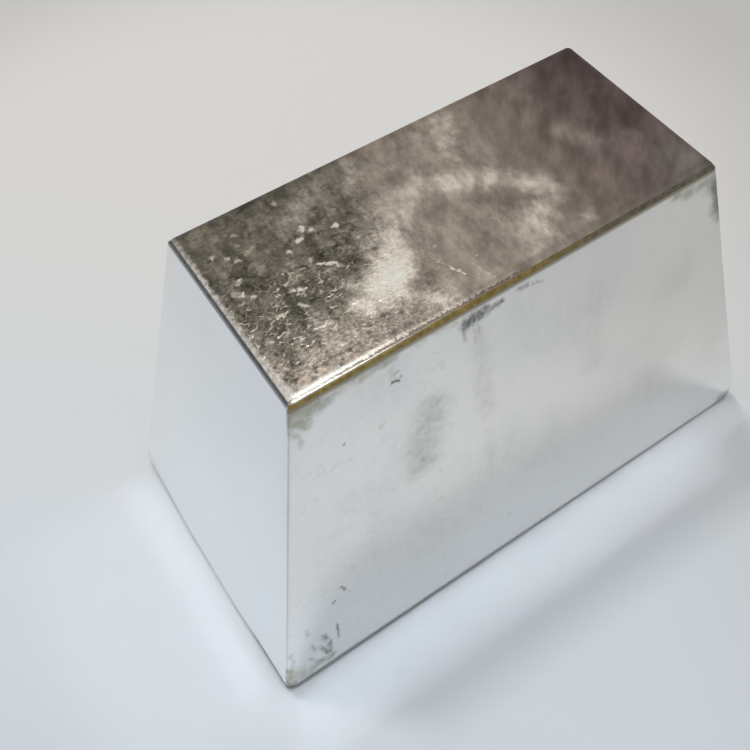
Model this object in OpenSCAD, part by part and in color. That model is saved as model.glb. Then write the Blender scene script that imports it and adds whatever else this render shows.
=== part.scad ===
// Indium ingot: a cast trade bar with four drafted sides, standing on its wide pour face.
// Lengths are in millimetres and angles in degrees. The origin is the middle of the pour face,
// the long sides run along X, and the narrow crown, which was the floor of the mould, faces +Z.

/* [Casting] */
// Length of the pour face
base_l = 85.6; // [60:0.1:130]
// Width of the pour face
base_w = 44.6; // [34:0.1:70]
// Height from the pour face to the crown
height = 52.5; // [30:0.5:70]
// Draft of the two end faces
end_draft = 14.3; // [4:0.1:16]
// Draft of the two long side faces
side_draft = 9.3; // [3:0.1:12]

/* [Edges] */
// Radius of the meniscus round the pour face
foot_r = 1.3; // [0.4:0.1:3]
// Radius of the pour face's corners in plan
foot_corner_r = 3; // [1:0.1:6]
// Radius of the four upright corners
corner_r = 0.4; // [0.2:0.1:2]
// Width of the sloping shoulder round the crown
shoulder_w = 0.7; // [0.3:0.1:2]
// Drop of the sloping shoulder
shoulder_drop = 0.12; // [0.05:0.01:0.4]
// Width of the chamfer outside the shoulder
chamfer_w = 0.35; // [0.2:0.05:1.5]
// Drop of the chamfer
chamfer_drop = 0.5; // [0.2:0.05:1.5]

/* [Hidden] */
$fn = 64;
// Room that a cutter keeps past the faces it cuts
cut_room = 2;
// Depth below the crown where the drafted sides begin
crown_drop = shoulder_drop + chamfer_drop;
// Width of the whole edge treatment round the crown
crown_edge_w = shoulder_w + chamfer_w;

// Half of a section at height z, for a section that is half_base wide at the pour face
function half_at(half_base, draft, z) = half_base - z * tan(draft);

// Distance from the sharp foot to the middle of a round of radius r that touches the side and the foot
function round_inset(draft, r) = r * (1 + sin(draft)) / cos(draft);

// Upright outline of the bar: drafted sides, a chamfer and shoulder at the crown, rounds at the foot
module bar_profile(half_base, draft) {
    round_x = half_base - round_inset(draft, foot_r);
    round_top = foot_r * (1 + sin(draft));
    edge_x = half_at(half_base, draft, height - crown_drop);
    right = [
        [round_x, 0],
        [round_x + foot_r * cos(draft), round_top],
        [edge_x, height - crown_drop],
        [edge_x - chamfer_w, height - shoulder_drop],
        [edge_x - crown_edge_w, height]
    ];
    left = [for (i = [len(right) - 1 : -1 : 0]) [-right[i][0], right[i][1]]];
    polygon(concat(right, left));
    for (side = [-1, 1])
        translate([side * round_x, foot_r]) circle(r = foot_r);
}

// Bar with its two profiles crossed, before the upright corners are rounded
module drafted_bar() {
    intersection() {
        rotate([90, 0, 0])
            linear_extrude(height = base_w + 2 * cut_room, center = true)
                bar_profile(base_l / 2, end_draft);
        rotate([90, 0, 90])
            linear_extrude(height = base_l + 2 * cut_room, center = true)
                bar_profile(base_w / 2, side_draft);
    }
}

// What the round of one upright corner takes off. The corner leans in with both drafts, so the cutter
// is drawn square to the corner's own line, which a round of radius corner_r touches from inside.
module corner_cutter() {
    lean = atan(norm([tan(end_draft), tan(side_draft)]));
    heading = atan2(-tan(side_draft), -tan(end_draft));
    across = [cos(lean) * cos(heading), cos(lean) * sin(heading), -sin(lean)];
    along = [-sin(heading), cos(heading), 0];
    end_normal = [cos(end_draft), 0, sin(end_draft)];
    side_normal = [0, cos(side_draft), sin(side_draft)];
    end_ray = [end_normal * across, end_normal * along];
    side_ray = [side_normal * across, side_normal * along];
    reach = corner_r + cut_room;
    translate([base_l / 2 - corner_r / cos(end_draft), base_w / 2 - corner_r / cos(side_draft), 0])
        rotate([0, lean, heading])
            translate([0, 0, -cut_room])
                linear_extrude(height = (height + 2 * cut_room) / cos(lean))
                    difference() {
                        polygon([[0, 0], reach * end_ray, reach * (end_ray + side_ray), reach * side_ray]);
                        circle(r = corner_r);
                    }
}

// What the round outline of the pour face takes off one corner. The upright corner leans in, so the cut runs
// out into it a few millimetres above the foot.
module foot_corner_cutter() {
    translate([base_l / 2 - foot_corner_r, base_w / 2 - foot_corner_r, -cut_room])
        linear_extrude(height = height)
            difference() {
                square(foot_corner_r + cut_room);
                circle(r = foot_corner_r);
            }
}

module ingot() {
    color("silver") difference() {
        drafted_bar();
        for (end = [0, 1], side = [0, 1])
            mirror([end, 0, 0]) mirror([0, side, 0]) {
                corner_cutter();
                foot_corner_cutter();
            }
    }
}

ingot();
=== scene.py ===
"""Looks of the cast indium ingot: the weathered casting, a pale floor, soft light and the camera.

Lengths are in metres unless a name or a docstring says millimetres. The casting stands on the floor with its
long sides along X and its crown up. The front is the long side that faces -Y, and the left end faces -X.
"""
from __future__ import annotations

import logging
import math
from collections.abc import Callable
from dataclasses import dataclass, field
from enum import Enum

import bmesh
import bpy
from mathutils import Matrix, Vector


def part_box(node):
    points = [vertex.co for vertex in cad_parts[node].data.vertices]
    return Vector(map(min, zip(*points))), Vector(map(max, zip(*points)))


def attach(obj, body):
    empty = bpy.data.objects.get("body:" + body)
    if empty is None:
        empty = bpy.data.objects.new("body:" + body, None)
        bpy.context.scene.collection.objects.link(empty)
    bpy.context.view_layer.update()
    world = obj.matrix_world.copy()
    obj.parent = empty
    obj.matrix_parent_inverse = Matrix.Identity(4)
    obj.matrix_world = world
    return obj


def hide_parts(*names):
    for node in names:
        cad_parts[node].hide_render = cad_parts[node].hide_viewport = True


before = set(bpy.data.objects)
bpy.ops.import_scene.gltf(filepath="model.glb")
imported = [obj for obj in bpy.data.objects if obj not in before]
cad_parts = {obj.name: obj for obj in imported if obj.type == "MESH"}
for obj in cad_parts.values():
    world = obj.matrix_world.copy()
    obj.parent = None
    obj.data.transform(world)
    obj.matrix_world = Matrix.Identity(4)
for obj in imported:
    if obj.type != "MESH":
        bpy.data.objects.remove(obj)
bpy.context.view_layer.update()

LOG = logging.getLogger("ingot")
MM = 0.001
PER_M = 1000.0
LEVEL_SLACK = 0.004 * MM
TINY = 0.001 * MM
STRAIGHT = 0.999
FLAT = 0.9999

Pair = tuple[float, float]
Triple = tuple[float, float, float]
Colour = tuple[float, float, float]
Sky = tuple[tuple[float, Colour], ...]
Socket = bpy.types.NodeSocket
Value = Socket | float | Triple


class Pick(Enum):
    """What a selection is made of."""

    VERTS = "VERT"
    EDGES = "EDGE"
    FACES = "FACE"


class Skin(Enum):
    """The finishes of the casting, in the order of its material slots."""

    SIDE = 0
    CROWN = 1
    GOLD = 2
    DARK = 3
    FOOT = 4


@dataclass(frozen=True)
class Mark:
    """A stroke on a face, in millimetres of that face.

    start and end are the two ends of the stroke's middle line, radius is half its width and strength how much
    of the mark's finish it takes.
    """

    start: Pair
    end: Pair
    radius: float
    strength: float = 1.0


def spot(x: float, y: float, radius: float, strength: float = 1.0) -> Mark:
    """Returns a round mark."""
    return Mark((x, y), (x, y), radius, strength)


class NodeSheet:
    """Writes nodes into one tree with short calls, for shaders and for geometry alike.

    Noise mostly stays within a quarter of its middle, so push_gain makes that quarter a whole push. elsewhere
    is a shift in millimetres to where the noise has nothing to do with the noise here.
    """

    push_gain = 4.0
    elsewhere = (31.0, 17.0, 5.0)

    def __init__(self, tree: bpy.types.NodeTree) -> None:
        """Keeps the tree to write into."""
        self.tree = tree

    def add(self, kind: str, **settings: object) -> bpy.types.Node:
        """Adds a node and sets its properties.

        Args:
            kind: Blender's name for the node type.
            settings: Properties to set on the node.

        Returns:
            The new node.
        """
        node = self.tree.nodes.new(kind)
        for name, setting in settings.items():
            setattr(node, name, setting)
        return node

    def feed(self, socket: Socket, value: Value) -> None:
        """Links a socket to an input, or writes a plain value on it.

        Args:
            socket: The input.
            value: An output socket, a number or a tuple.
        """
        if isinstance(value, bpy.types.NodeSocket):
            self.tree.links.new(value, socket)
        elif socket.type == "RGBA":
            socket.default_value = (*value, 1.0)
        else:
            socket.default_value = value

    def fill(self, node: bpy.types.Node, values: dict[int | str, Value]) -> None:
        """Feeds several inputs of a node.

        Args:
            node: The node.
            values: What each input gets, by the input's index or name.
        """
        for key, value in values.items():
            self.feed(node.inputs[key], value)

    def math(self, operation: str, a: Value, b: Value = 0.0, c: Value = 0.0) -> Socket:
        """Adds one sum on numbers.

        Args:
            operation: Blender's name for the sum.
            a: The first number.
            b: The second number, where the sum has one.
            c: The third number, where the sum has one.

        Returns:
            The result.
        """
        node = self.add("ShaderNodeMath", operation=operation)
        self.fill(node, {0: a, 1: b, 2: c})
        return node.outputs[0]

    def times(self, *factors: Value) -> Socket:
        """Multiplies numbers.

        Args:
            factors: Two or more numbers.

        Returns:
            Their product.
        """
        product = factors[0]
        for factor in factors[1:]:
            product = self.math("MULTIPLY", product, factor)
        return product

    def most(self, *numbers: Value) -> Socket:
        """Picks the largest number.

        Args:
            numbers: Two or more numbers.

        Returns:
            The largest.
        """
        largest = numbers[0]
        for number in numbers[1:]:
            largest = self.math("MAXIMUM", largest, number)
        return largest

    def vector(self, operation: str, a: Value, b: Value = (0.0, 0.0, 0.0)) -> Socket:
        """Adds one sum on vectors.

        Args:
            operation: Blender's name for the sum.
            a: The first vector.
            b: The second vector, where the sum has one.

        Returns:
            The result, a number where the sum gives one.
        """
        node = self.add("ShaderNodeVectorMath", operation=operation)
        self.fill(node, {0: a, 1: b})
        number = operation in ("LENGTH", "DISTANCE", "DOT_PRODUCT")
        return node.outputs["Value" if number else "Vector"]

    def scaled(self, vector: Value, factor: Value) -> Socket:
        """Scales a vector or a colour.

        Args:
            vector: The vector or colour.
            factor: The number to scale it by.

        Returns:
            The scaled vector.
        """
        node = self.add("ShaderNodeVectorMath", operation="SCALE")
        self.fill(node, {0: vector, "Scale": factor})
        return node.outputs[0]

    def split(self, vector: Socket) -> list[Socket]:
        """Takes a vector apart.

        Args:
            vector: The vector.

        Returns:
            Its three parts.
        """
        node = self.add("ShaderNodeSeparateXYZ")
        self.feed(node.inputs[0], vector)
        return list(node.outputs)

    def merge(self, x: Value, y: Value, z: Value = 0.0) -> Socket:
        """Puts a vector together.

        Args:
            x: The first part.
            y: The second part.
            z: The third part.

        Returns:
            The vector.
        """
        node = self.add("ShaderNodeCombineXYZ")
        self.fill(node, {0: x, 1: y, 2: z})
        return node.outputs[0]

    def ramp(self, value: Value, low: float, high: float, start: Value = 0.0, end: float = 1.0) -> Socket:
        """Adds a soft step, which may also run downwards.

        Args:
            value: The number that decides.
            low: Where the step begins.
            high: Where the step ends.
            start: What the step gives at low.
            end: What it gives at high.

        Returns:
            The step.
        """
        node = self.add("ShaderNodeMapRange", interpolation_type="SMOOTHSTEP")
        self.fill(node, {0: value, 1: low, 2: high, 3: start, 4: end})
        return node.outputs[0]

    def blend(self, factor: Value, a: Value, b: Value) -> Socket:
        """Mixes two numbers.

        Args:
            factor: 0 for the first number, 1 for the second.
            a: The first number.
            b: The second number.

        Returns:
            The mixed number.
        """
        node = self.add("ShaderNodeMix", data_type="FLOAT")
        self.fill(node, {0: factor, 2: a, 3: b})
        return node.outputs[0]

    def tint(self, factor: Value, a: Value, b: Value) -> Socket:
        """Mixes two colours.

        Args:
            factor: 0 for the first colour, 1 for the second.
            a: The first colour.
            b: The second colour.

        Returns:
            The mixed colour.
        """
        node = self.add("ShaderNodeMix", data_type="RGBA")
        self.fill(node, {0: factor, 6: a, 7: b})
        return node.outputs[2]

    def noise(
        self, place: Socket, scale: float, detail: float = 2.0, rough: float = 0.5, warp: float = 0.0
    ) -> Socket:
        """Adds soft noise.

        Args:
            place: Coordinates in millimetres.
            scale: Lumps to a millimetre.
            detail: Octaves of finer lumps.
            rough: Strength of the finer lumps.
            warp: How far the lumps are pulled out of shape.

        Returns:
            The noise, from 0 to 1.
        """
        node = self.add("ShaderNodeTexNoise")
        self.fill(node, {"Vector": place, "Scale": scale, "Detail": detail})
        self.fill(node, {"Roughness": rough, "Distortion": warp})
        return node.outputs[0]

    def swing(
        self, place: Socket, scale: float, detail: float = 2.0, rough: float = 0.5, warp: float = 0.0
    ) -> Socket:
        """Returns noise about 0, from -0.5 to 0.5."""
        return self.math("SUBTRACT", self.noise(place, scale, detail, rough, warp), 0.5)

    def wander(self, place: Socket, scale: float, reach: float) -> Socket:
        """Pushes coordinates about by noise, so that what is drawn on them has ragged edges.

        Args:
            place: Coordinates in millimetres.
            scale: Lumps of the noise to a millimetre.
            reach: About how far a point is pushed, in millimetres.

        Returns:
            The pushed coordinates.
        """
        node = self.add("ShaderNodeTexNoise")
        self.fill(node, {"Vector": place, "Scale": scale})
        push = self.vector("SUBTRACT", node.outputs["Color"], (0.5, 0.5, 0.5))
        return self.vector("ADD", place, self.scaled(push, self.push_gain * reach))

    def wrinkle(self, place: Socket, scale: float, width: float, keep: Pair = (0.5, 0.6)) -> Socket:
        """Draws broken, wandering lines like the creases of foil.

        Args:
            place: Coordinates in millimetres.
            scale: Bends to a millimetre.
            width: Half width of a line, as a share of the noise it follows.
            keep: Noise levels between which a line goes from broken off to whole.

        Returns:
            The lines, 1 in the middle of a line.
        """
        bent = self.wander(place, 0.8 * scale, 0.2 / scale)
        line = self.ramp(self.math("ABSOLUTE", self.swing(bent, scale, 1.0)), width, 0.0)
        apart = self.vector("ADD", place, self.elsewhere)
        return self.times(line, self.ramp(self.noise(apart, 1.1 * scale, 1.0), *keep))

    def torn(
        self, cover: Socket, place: Socket, scale: float, low: float, high: float, grit: float = 1.0
    ) -> Socket:
        """Tears the rim of a mark into blotches.

        Args:
            cover: The smooth cover.
            place: Coordinates in millimetres.
            scale: Blotches to a millimetre.
            low: Cover at which the mark begins.
            high: Cover at which it is full.
            grit: How deep the tears go.

        Returns:
            The torn cover.
        """
        rag = self.times(self.swing(place, scale, 4.0, 0.65), grit)
        return self.ramp(self.math("MULTIPLY_ADD", rag, cover, cover), low, high)

    def stretched(self, place: Socket, factors: Triple) -> Socket:
        """Returns coordinates multiplied part by part, which draws a pattern out along an axis."""
        return self.vector("MULTIPLY", place, factors)

    def turned(self, flat: Socket, degrees: float, squeeze: float) -> Socket:
        """Turns flat coordinates in plan, and squeezes them along their new first axis.

        Args:
            flat: Coordinates on the face in millimetres.
            degrees: The direction of the new first axis.
            squeeze: Factor along that axis, under 1 to draw a pattern out.

        Returns:
            The turned coordinates.
        """
        cosine, sine = math.cos(math.radians(degrees)), math.sin(math.radians(degrees))
        along = self.vector("DOT_PRODUCT", flat, (squeeze * cosine, squeeze * sine, 0.0))
        across = self.vector("DOT_PRODUCT", flat, (-sine, cosine, 0.0))
        return self.merge(along, across)

    def stroke(self, place: Socket, mark: Mark) -> Socket:
        """Draws one mark.

        Args:
            place: Coordinates on the face in millimetres, with the third part 0.
            mark: The stroke.

        Returns:
            The cover of the mark, soft to its rim, from 0 to its strength.
        """
        start = (*mark.start, 0.0)
        if mark.start == mark.end:
            gap = self.vector("DISTANCE", place, start)
        else:
            run = (mark.end[0] - mark.start[0], mark.end[1] - mark.start[1], 0.0)
            away = self.vector("SUBTRACT", place, start)
            along = self.math("DIVIDE", self.vector("DOT_PRODUCT", away, run), run[0] ** 2 + run[1] ** 2)
            along = self.math("MINIMUM", self.math("MAXIMUM", along, 0.0), 1.0)
            gap = self.vector("LENGTH", self.vector("SUBTRACT", away, self.scaled(run, along)))
        return self.ramp(gap, mark.radius, 0.0, 0.0, mark.strength)

    def strokes(self, place: Socket, marks: tuple[Mark, ...]) -> Socket:
        """Draws several marks, each merged before the next, which keeps the shader small.

        Args:
            place: Coordinates on the face in millimetres, with the third part 0.
            marks: The strokes.

        Returns:
            The strongest cover at each point.
        """
        cover = self.stroke(place, marks[0])
        for mark in marks[1:]:
            cover = self.math("MAXIMUM", cover, self.stroke(place, mark))
        return cover


class Finish:
    """A metal finish, whose colour, roughness and relief are drawn on the casting's own coordinates."""

    name: str

    def make(self) -> bpy.types.Material:
        """Makes the material.

        Returns:
            The finished material.
        """
        material = bpy.data.materials.new(self.name)
        material.use_nodes = True
        material.node_tree.nodes.clear()
        sheet = NodeSheet(material.node_tree)
        shader = sheet.add("ShaderNodeBsdfPrincipled")
        shader.inputs["Metallic"].default_value = 1.0
        output = sheet.add("ShaderNodeOutputMaterial")
        sheet.feed(output.inputs["Surface"], shader.outputs[0])
        coordinates = sheet.add("ShaderNodeTexCoord").outputs["Object"]
        self.draw(sheet, sheet.scaled(coordinates, PER_M), shader)
        return material

    def draw(self, sheet: NodeSheet, place: Socket, shader: bpy.types.Node) -> None:
        """Draws the finish on the shader's sockets.

        Args:
            sheet: The material's node sheet.
            place: Coordinates on the casting, in millimetres.
            shader: The metal shader to feed.
        """
        raise NotImplementedError

    @staticmethod
    def spared_foot(sheet: NodeSheet, x: Socket, y: Socket) -> Socket:
        """Draws where the foot is spared the painted contact shade, which is everywhere but at the front's two
        ends.

        Args:
            sheet: The material's node sheet.
            x: Place along the bar in millimetres.
            y: Place across the bar in millimetres.

        Returns:
            How free the foot is of the painted contact shade, from 0 to 1.
        """
        front = sheet.times(sheet.ramp(x, -30.0, 34.0), sheet.ramp(x, 37.0, 41.0, 1.0, 0.2))
        return sheet.most(front, sheet.ramp(y, -19.0, -8.0, 0.0, 0.9))

    @staticmethod
    def relief(sheet: NodeSheet, shader: bpy.types.Node, height: Socket, depth: float) -> None:
        """Gives the shader a fine relief.

        Args:
            sheet: The material's node sheet.
            shader: The metal shader.
            height: Relief from 0 to 1.
            depth: What 1 stands for, in millimetres.
        """
        bump = sheet.add("ShaderNodeBump")
        bump.inputs["Distance"].default_value = depth * MM
        sheet.feed(bump.inputs["Height"], height)
        sheet.feed(shader.inputs["Normal"], bump.outputs[0])


@dataclass(frozen=True)
class SideMap:
    """What the sides' finish needs to know of each point.

    place and its parts x and z are in millimetres, and so are inner and outer, the smaller and the larger of
    its distances from the planes of the end faces and of the long sides. on_long and on_front tell whether it
    lies on a long side and on the front, and spared how free the foot is there of the painted contact shade.
    """

    place: Socket
    x: Socket
    z: Socket
    inner: Socket
    outer: Socket
    on_long: Socket
    on_front: Socket
    spared: Socket


@dataclass(frozen=True)
class BrightSide(Finish):
    """The four drafted sides: bright, faintly streaked down the draw, with smudges and dark scuffs in front, a
    painted dark reflection on each upright corner and painted shade along the foot.

    foot_half and slope give the half length and half width at the floor, in millimetres, and how much each
    loses with each millimetre of height. top is the height of the sides' upper edge and streak_depth the
    depth of the streaks, in millimetres too. polish is the roughness at the foot and further up.
    """

    foot_half: Pair
    slope: Pair
    name = "bright_side"
    top: float = 51.88
    streak_depth: float = 0.0015
    polish: Pair = (0.08, 0.17)
    dull_roughness: float = 0.22
    smudge_roughness: float = 0.32
    scuff_roughness: float = 0.5
    bright: Colour = (0.965, 0.98, 0.99)
    shade: Colour = (0.85, 0.862, 0.875)
    dull: Colour = (0.88, 0.855, 0.81)
    aged: Colour = (0.99, 0.942, 0.885)
    smudge_and_shade: Colour = (0.50, 0.48, 0.40)
    # also the painted dark reflection on the corners and the painted contact shade along the foot
    scuff_and_shade: Colour = (0.20, 0.20, 0.19)
    stain: Colour = (0.31, 0.26, 0.175)
    # painted shade that darkens the upright corners towards the foot
    grime_and_shade: Colour = (0.21, 0.20, 0.18)
    smudges: tuple[Mark, ...] = (
        Mark((-15.9, 31.6), (-13.4, 40.2), 5.8, 0.55),
        Mark((-30.2, 51.0), (-26.4, 50.8), 3.2),
        Mark((-29.8, 50.4), (-28.4, 49.0), 2.0, 0.85),
        Mark((-29.8, 48.6), (-29.5, 46.2), 1.3, 0.55),
        Mark((-26.0, 51.2), (-16.5, 51.2), 1.6, 0.7),
        Mark((-16.5, 51.2), (-9.0, 51.0), 1.2, 0.45),
        Mark((-17.4, 49.6), (-17.0, 48.2), 1.3, 0.45),
        Mark((-20.1, 43.4), (-19.9, 41.0), 0.4, 0.5),
        Mark((-6.3, 48.0), (-5.9, 34.0), 3.6, 0.38),
        Mark((-6.0, 30.0), (-6.0, 20.0), 2.2, 0.3),
        Mark((10.9, 41.0), (10.9, 30.0), 5.0, 0.28),
        Mark((23.0, 51.0), (29.2, 50.4), 2.0, 0.7),
        Mark((-38.2, 3.0), (-34.9, 3.0), 1.6, 0.7),
        Mark((-34.8, 8.9), (-35.2, 3.6), 0.9, 0.6),
        Mark((-36.9, 12.4), (-36.7, 11.2), 1.2, 0.5),
        Mark((-41.0, 6.0), (-41.4, 1.6), 1.6, 0.9),
        Mark((-39.6, 9.0), (-40.4, 5.0), 0.9, 0.5),
        Mark((-40.4, 4.2), (-38.6, 2.0), 2.6, 0.6),
        Mark((-32.8, 17.6), (-31.8, 18.8), 0.8, 0.35),
        Mark((-11.2, 45.5), (-11.2, 45.1), 0.6, 0.5),
        Mark((-14.6, 42.9), (-14.6, 40.6), 0.35, 0.4),
        Mark((-13.5, 42.9), (-13.5, 40.9), 0.35, 0.4),
        Mark((29.4, 50.2), (31.6, 44.2), 2.8, 0.85),
    )
    scuffs: tuple[Mark, ...] = (
        Mark((-7.7, 49.9), (-5.3, 50.3), 1.9, 0.9),
        Mark((-8.2, 49.3), (-8.0, 47.6), 0.7, 0.6),
        Mark((-6.2, 49.6), (-6.1, 47.4), 0.5, 0.45),
        Mark((-4.1, 50.2), (-2.9, 50.3), 1.0, 0.8),
        Mark((-0.4, 50.6), (0.8, 50.6), 0.8, 0.65),
        Mark((1.6, 50.3), (2.8, 49.9), 0.6, 0.5),
        Mark((-6.7, 48.5), (-6.7, 46.2), 0.3, 0.5),
        Mark((-17.8, 47.7), (-16.9, 47.3), 0.45),
        Mark((-17.0, 47.3), (-16.6, 47.9), 0.3, 0.9),
        Mark((-17.3, 48.6), (-16.8, 48.8), 0.35, 0.6),
        Mark((-24.9, 42.8), (-24.9, 42.5), 0.25, 0.9),
        Mark((-30.5, 17.1), (-30.0, 16.2), 0.5, 0.85),
        Mark((-30.0, 16.2), (-29.3, 14.5), 0.25, 0.5),
        Mark((-32.1, 14.7), (-31.7, 15.1), 0.5, 0.85),
        Mark((-32.6, 9.6), (-33.0, 6.0), 0.5, 0.75),
        Mark((-34.8, 8.8), (-34.4, 7.4), 0.6, 0.65),
        Mark((-36.8, 8.4), (-36.6, 6.6), 0.7, 0.55),
        Mark((-35.8, 6.8), (-35.0, 4.2), 0.8, 0.7),
        Mark((-34.2, 6.6), (-34.8, 4.0), 0.8, 0.65),
        Mark((-37.8, 5.6), (-37.0, 4.0), 0.7, 0.55),
        Mark((29.8, 49.6), (31.2, 45.2), 1.8, 0.7),
        # Painted shade at the right foot corner.
        Mark((39.4, 1.8), (40.8, 1.4), 2.6, 0.6),
    )

    def draw(self, sheet: NodeSheet, place: Socket, shader: bpy.types.Node) -> None:
        """Draws the metal's tone, then the smudges, the scuffs, the painted shade at the foot of the corners
        and the stain over it.

        Args:
            sheet: The material's node sheet.
            place: Coordinates on the casting, in millimetres.
            shader: The metal shader to feed.
        """
        at = self.survey(sheet, place)
        streaks = sheet.noise(sheet.stretched(place, (0.9, 0.9, 0.045)), 1.0, 2.0, 0.6)
        dulled = self.dulled(sheet, at, streaks)
        smudged_and_shaded = self.smudged_and_shaded(sheet, at)
        scuffed_and_shaded = self.scuffed_and_shaded(sheet, at)
        colour = sheet.tint(dulled, self.tone(sheet, at), self.dull)
        colour = sheet.tint(smudged_and_shaded, colour, self.smudge_and_shade)
        colour = sheet.tint(scuffed_and_shaded, colour, self.scuff_and_shade)
        # Painted shade: the upright corners darken towards the foot.
        rounded = sheet.times(sheet.ramp(at.inner, 0.01, 0.25, 0.0, 0.9), sheet.ramp(at.z, 7.5, 2.0))
        colour = sheet.tint(sheet.torn(rounded, place, 0.7, 0.1, 1.0, 1.6), colour, self.grime_and_shade)
        stained = sheet.times(sheet.ramp(at.z, self.top - 0.8, self.top - 0.2, 0.0, 0.9), at.on_front)
        sheet.feed(shader.inputs["Base Color"], sheet.tint(stained, colour, self.stain))
        rough = sheet.blend(dulled, sheet.ramp(at.z, 2.0, 22.0, *self.polish), self.dull_roughness)
        rough = sheet.blend(smudged_and_shaded, rough, self.smudge_roughness)
        sheet.feed(shader.inputs["Roughness"], sheet.blend(scuffed_and_shaded, rough, self.scuff_roughness))
        self.relief(sheet, shader, streaks, self.streak_depth)

    def survey(self, sheet: NodeSheet, place: Socket) -> SideMap:
        """Works out where each point lies on the sides.

        Args:
            sheet: The material's node sheet.
            place: Coordinates on the casting, in millimetres.

        Returns:
            What the finish needs to know of the point.
        """
        x, y, z = sheet.split(place)
        gaps = []
        for part, half, slope in zip((x, y), self.foot_half, self.slope):
            face = sheet.math("MULTIPLY_ADD", z, -slope, half)
            gaps.append(sheet.math("SUBTRACT", face, sheet.math("ABSOLUTE", part)))
        inner = sheet.math("MINIMUM", *gaps)
        outer = sheet.most(*gaps)
        on_long = sheet.ramp(gaps[1], 0.5, 0.2)
        on_front = sheet.times(on_long, sheet.ramp(y, -1.0, -2.0))
        return SideMap(place, x, z, inner, outer, on_long, on_front, self.spared_foot(sheet, x, y))

    def tone(self, sheet: NodeSheet, at: SideMap) -> Socket:
        """Draws the clean metal, shaded at the top of the ends and aged on the long sides.

        Args:
            sheet: The material's node sheet.
            at: Where the point lies.

        Returns:
            The colour.
        """
        colour = sheet.tint(sheet.ramp(at.z, 14.0, 54.0, 0.0, 0.9), self.bright, self.shade)
        colour = sheet.tint(at.on_long, colour, self.bright)
        aging = sheet.times(at.on_long, sheet.ramp(at.x, -36.0, -6.0, 0.6), sheet.ramp(at.z, 6.0, 24.0, 0.3))
        return sheet.tint(aging, colour, self.aged)

    @staticmethod
    def dulled(sheet: NodeSheet, at: SideMap, streaks: Socket) -> Socket:
        """Draws the dull clouds, which are streaked down the draw and weak at the foot.

        Args:
            sheet: The material's node sheet.
            at: Where the point lies.
            streaks: The streaks, from 0 to 1.

        Returns:
            The cover of the dull metal.
        """
        clouds = sheet.ramp(sheet.noise(at.place, 0.08, 3.0), 0.42, 0.72)
        clouds = sheet.times(clouds, sheet.ramp(streaks, 0.3, 0.7, 0.5))
        on_ends = sheet.ramp(at.z, 15.0, 45.0, 0.2, 0.8)
        return sheet.times(clouds, sheet.blend(at.on_long, on_ends, 1.0), sheet.ramp(at.z, 4.0, 20.0, 0.2))

    def smudged_and_shaded(self, sheet: NodeSheet, at: SideMap) -> Socket:
        """Draws the front's smudges, hairs and specks, faint wisps all round and a painted shade just above the
        foot.

        Args:
            sheet: The material's node sheet.
            at: Where the point lies.

        Returns:
            The cover of the smudges.
        """
        wisps = sheet.times(sheet.wrinkle(at.place, 0.3, 0.02), sheet.blend(at.on_long, 0.03, 0.2))
        wisps = sheet.times(wisps, sheet.ramp(at.x, -4.0, 10.0, 1.0, 0.15))
        marked = sheet.strokes(sheet.wander(sheet.merge(at.x, at.z), 0.5, 0.55), self.smudges)
        marked = sheet.times(sheet.torn(marked, at.place, 0.9, 0.1, 1.0, 1.4), at.on_front)
        hairs = sheet.times(sheet.wrinkle(sheet.stretched(at.place, (1.0, 1.0, 0.6)), 0.75, 0.03), 0.5)
        drawn = sheet.stretched(at.place, (1.0, 1.0, 0.7))
        specks = sheet.ramp(sheet.noise(drawn, 0.6, 5.0, 0.72), 0.55, 0.75)
        fine = sheet.times(sheet.most(hairs, specks), at.on_front, sheet.ramp(at.x, 2.0, -16.0, 0.05, 0.26))
        # Painted shade: a darker band just above the foot, strongest at the front's two ends.
        low = sheet.times(sheet.ramp(at.z, 2.2, 1.0), sheet.blend(at.spared, 0.85, 0.2))
        return sheet.most(marked, wisps, fine, low)

    def scuffed_and_shaded(self, sheet: NodeSheet, at: SideMap) -> Socket:
        """Draws the dark scuffs of the front, a painted dark reflection on each upright corner and a painted
        contact shade along the foot.

        Args:
            sheet: The material's node sheet.
            at: Where the point lies.

        Returns:
            The cover of the scuffs.
        """
        marked = sheet.strokes(sheet.wander(sheet.merge(at.x, at.z), 1.6, 0.22), self.scuffs)
        dragged = sheet.stretched(at.place, (1.0, 1.0, 0.6))
        marked = sheet.times(sheet.torn(marked, dragged, 1.7, 0.04, 1.15, 1.8), at.on_front)
        # Painted dark reflection: a thin line on each upright corner.
        corner = sheet.ramp(at.outer, 0.3, 0.08, 0.0, 0.3)
        # Painted contact shade: a line along the foot, strongest at the front's ends.
        line = sheet.times(sheet.ramp(at.z, 1.9, 1.3), sheet.blend(at.spared, 0.65, 0.1))
        return sheet.most(marked, corner, line)


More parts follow.
